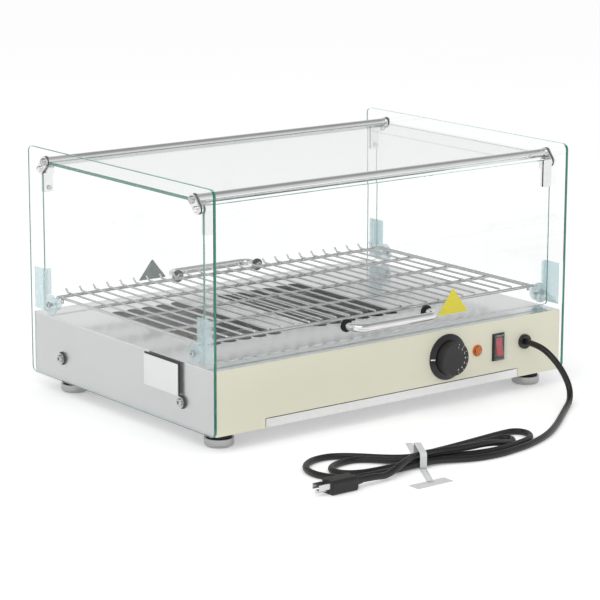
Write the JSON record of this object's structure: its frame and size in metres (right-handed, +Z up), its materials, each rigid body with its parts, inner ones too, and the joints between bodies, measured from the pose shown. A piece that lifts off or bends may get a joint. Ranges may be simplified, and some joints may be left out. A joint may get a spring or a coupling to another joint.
{
  "type": "heated display case",
  "caption": "Countertop heated display case: glass box on a low warming base, flap doors front and rear, lift-out wire rack, crumb tray, thermostat knob and tied power cord.",
  "frame": {"origin": "on the surface the feet stand on, at the middle of the width and midway between the front of the control knob and the back of the rear door handle, measured without the cord", "axes": "+X to the right seen from the front, along the width and the door hinges; +Y from the front panel to the back; +Z up"},
  "size_m": [0.572, 0.6919, 0.3175],
  "materials": {
    "clear_glass": "polished float glass with ground edges",
    "stainless_sheet": "satin",
    "polished_steel": "polished",
    "rack_steel": "bright zinc plate",
    "element_steel": "heat-tinted",
    "cream_panel": "smooth powder coat",
    "clear_plastic": "clear moulded",
    "black_plastic": "semi-gloss moulded",
    "dark_knob": "matt moulded",
    "black_rubber": "matt",
    "amber_lens": "translucent",
    "red_rocker": "glossy translucent",
    "cord_jacket": "satin",
    "white_plastic": "matt",
    "wire_insulation": "satin"
  },
  "bodies": {
    "case": {"base_back": "stainless_sheet", "base_bolts": "polished_steel", "base_nuts": "polished_steel", "base_side_left": "stainless_sheet", "base_side_right": "stainless_sheet", "bolt_washers": "polished_steel", "bottom_plate": "stainless_sheet", "cord_gland": "black_plastic", "cord_hank": "cord_jacket", "cord_plug": "cord_jacket", "cord_tie": "white_plastic", "deck_plate": "stainless_sheet", "dial_bezel": "black_plastic", "door_stops": "clear_plastic", "element_hangers": "stainless_sheet", "foot_discs": "polished_steel", "foot_necks": "black_rubber", "front_panel": "cream_panel", "glass_pads": "black_rubber", "heat_baffle": "stainless_sheet", "heating_elements": "element_steel", "hinge_pins": "polished_steel", "hinge_plates": "polished_steel", "hinge_spacers": "white_plastic", "lamp_body": "black_plastic", "lamp_lens": "amber_lens", "peg_screws": "polished_steel", "power_cord": "cord_jacket", "rack_pegs": "clear_plastic", "rail_screws": "polished_steel", "sensor_bulb": "element_steel", "side_glass_left": "clear_glass", "side_glass_right": "clear_glass", "switch_cover": "clear_plastic", "switch_frame": "black_plastic", "terminal_block": "white_plastic", "thermostat_body": "black_plastic", "top_glass": "clear_glass", "top_rail_front": "polished_steel", "top_rail_rear": "polished_steel", "tray_runners": "stainless_sheet", "wiring_loom": "wire_insulation"},
    "front_door": {"front_door_glass": "clear_glass", "front_door_clips": "polished_steel", "front_door_screws": "polished_steel", "front_door_handle": "polished_steel", "front_handle_washers": "black_rubber"},
    "rear_door": {"rear_door_glass": "clear_glass", "rear_door_clips": "polished_steel", "rear_door_screws": "polished_steel", "rear_door_handle": "polished_steel", "rear_handle_washers": "black_rubber"},
    "knob": {"control_knob": "dark_knob", "thermostat_shaft": "polished_steel"},
    "rocker": {"switch_rocker": "red_rocker"},
    "tray": {"crumb_tray": "stainless_sheet"},
    "rack": {"rack_frame": "rack_steel", "rack_wires": "rack_steel", "rack_legs": "rack_steel"}
  },
  "joints": [
    {"name": "front_door_swing", "type": "hinge", "parent": "case", "child": "front_door", "pos_m": [0, -0.1676, 0.291], "axis": [-1, 0, 0], "range_deg": [0, 70]},
    {"name": "rear_door_swing", "type": "hinge", "parent": "case", "child": "rear_door", "pos_m": [0, 0.1764, 0.291], "axis": [1, 0, 0], "range_deg": [0, 70]},
    {"name": "knob_turn", "type": "hinge", "parent": "case", "child": "knob", "pos_m": [0.0825, -0.1959, 0.0657], "axis": [0, 1, 0], "range_deg": [0, 240]},
    {"name": "rocker_tilt", "type": "hinge", "parent": "case", "child": "rocker", "pos_m": [0.16725, -0.1959, 0.06625], "axis": [1, 0, 0], "range_deg": [0, 20]},
    {"name": "tray_slide", "type": "slide", "parent": "case", "child": "tray", "axis": [0, -1, 0], "range_m": [0, 0.3]},
    {"name": "rack_lift", "type": "slide", "parent": "case", "child": "rack", "axis": [0, 0, 1], "range_m": [0, 0.1]}
  ]
}
